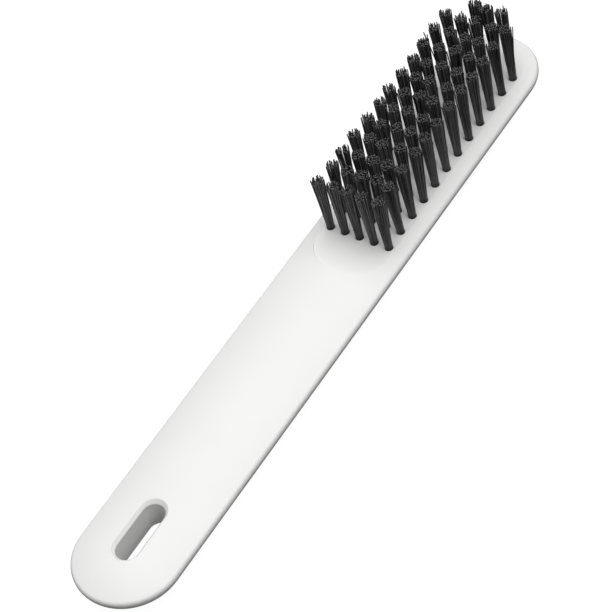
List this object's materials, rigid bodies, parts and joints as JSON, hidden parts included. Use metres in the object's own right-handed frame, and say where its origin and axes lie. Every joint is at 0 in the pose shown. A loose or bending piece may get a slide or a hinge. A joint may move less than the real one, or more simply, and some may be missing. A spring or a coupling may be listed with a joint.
{
  "type": "bee brush",
  "caption": "White moulded plastic hand brush for beekeeping: a round-ended body with a crowned face and a hanging slot, and a field of short black nylon tufts at the head end.",
  "frame": {"origin": "middle of the narrow flat along the back, on the surface that the brush lies on", "axes": "+X along the body from the slot end to the head end, +Y across it, +Z out of the tufted face"},
  "size_m": [0.218, 0.031, 0.0282],
  "materials": {
    "handle_plastic": "satin white moulded plastic",
    "bristle_nylon": "satin black nylon filament",
    "anchor_wire": "flat drawn wire"
  },
  "bodies": {
    "root": {"handle": "handle_plastic", "tuft_r01_c1": "bristle_nylon", "tuft_r01_c2": "bristle_nylon", "tuft_r01_c3": "bristle_nylon", "tuft_r01_c4": "bristle_nylon", "tuft_r01_c5": "bristle_nylon", "tuft_r02_c1": "bristle_nylon", "tuft_r02_c2": "bristle_nylon", "tuft_r02_c3": "bristle_nylon", "tuft_r02_c4": "bristle_nylon", "tuft_r02_c5": "bristle_nylon", "tuft_r03_c1": "bristle_nylon", "tuft_r03_c2": "bristle_nylon", "tuft_r03_c3": "bristle_nylon", "tuft_r03_c4": "bristle_nylon", "tuft_r03_c5": "bristle_nylon", "tuft_r04_c1": "bristle_nylon", "tuft_r04_c2": "bristle_nylon", "tuft_r04_c3": "bristle_nylon", "tuft_r04_c4": "bristle_nylon", "tuft_r04_c5": "bristle_nylon", "tuft_r05_c1": "bristle_nylon", "tuft_r05_c2": "bristle_nylon", "tuft_r05_c3": "bristle_nylon", "tuft_r05_c4": "bristle_nylon", "tuft_r05_c5": "bristle_nylon", "tuft_r06_c1": "bristle_nylon", "tuft_r06_c2": "bristle_nylon", "tuft_r06_c3": "bristle_nylon", "tuft_r06_c4": "bristle_nylon", "tuft_r06_c5": "bristle_nylon", "tuft_r07_c1": "bristle_nylon", "tuft_r07_c2": "bristle_nylon", "tuft_r07_c3": "bristle_nylon", "tuft_r07_c4": "bristle_nylon", "tuft_r07_c5": "bristle_nylon", "tuft_r08_c1": "bristle_nylon", "tuft_r08_c2": "bristle_nylon", "tuft_r08_c3": "bristle_nylon", "tuft_r08_c4": "bristle_nylon", "tuft_r08_c5": "bristle_nylon", "tuft_r09_c1": "bristle_nylon", "tuft_r09_c2": "bristle_nylon", "tuft_r09_c3": "bristle_nylon", "tuft_r09_c4": "bristle_nylon", "tuft_r09_c5": "bristle_nylon", "tuft_r10_c1": "bristle_nylon", "tuft_r10_c2": "bristle_nylon", "tuft_r10_c3": "bristle_nylon", "tuft_r10_c4": "bristle_nylon", "tuft_r10_c5": "bristle_nylon", "tuft_r11_c1": "bristle_nylon", "tuft_r11_c2": "bristle_nylon", "tuft_r11_c3": "bristle_nylon", "tuft_r11_c4": "bristle_nylon", "tuft_r11_c5": "bristle_nylon", "tuft_row_12": "bristle_nylon", "tuft_row_13": "bristle_nylon"}
  },
  "joints": []
}
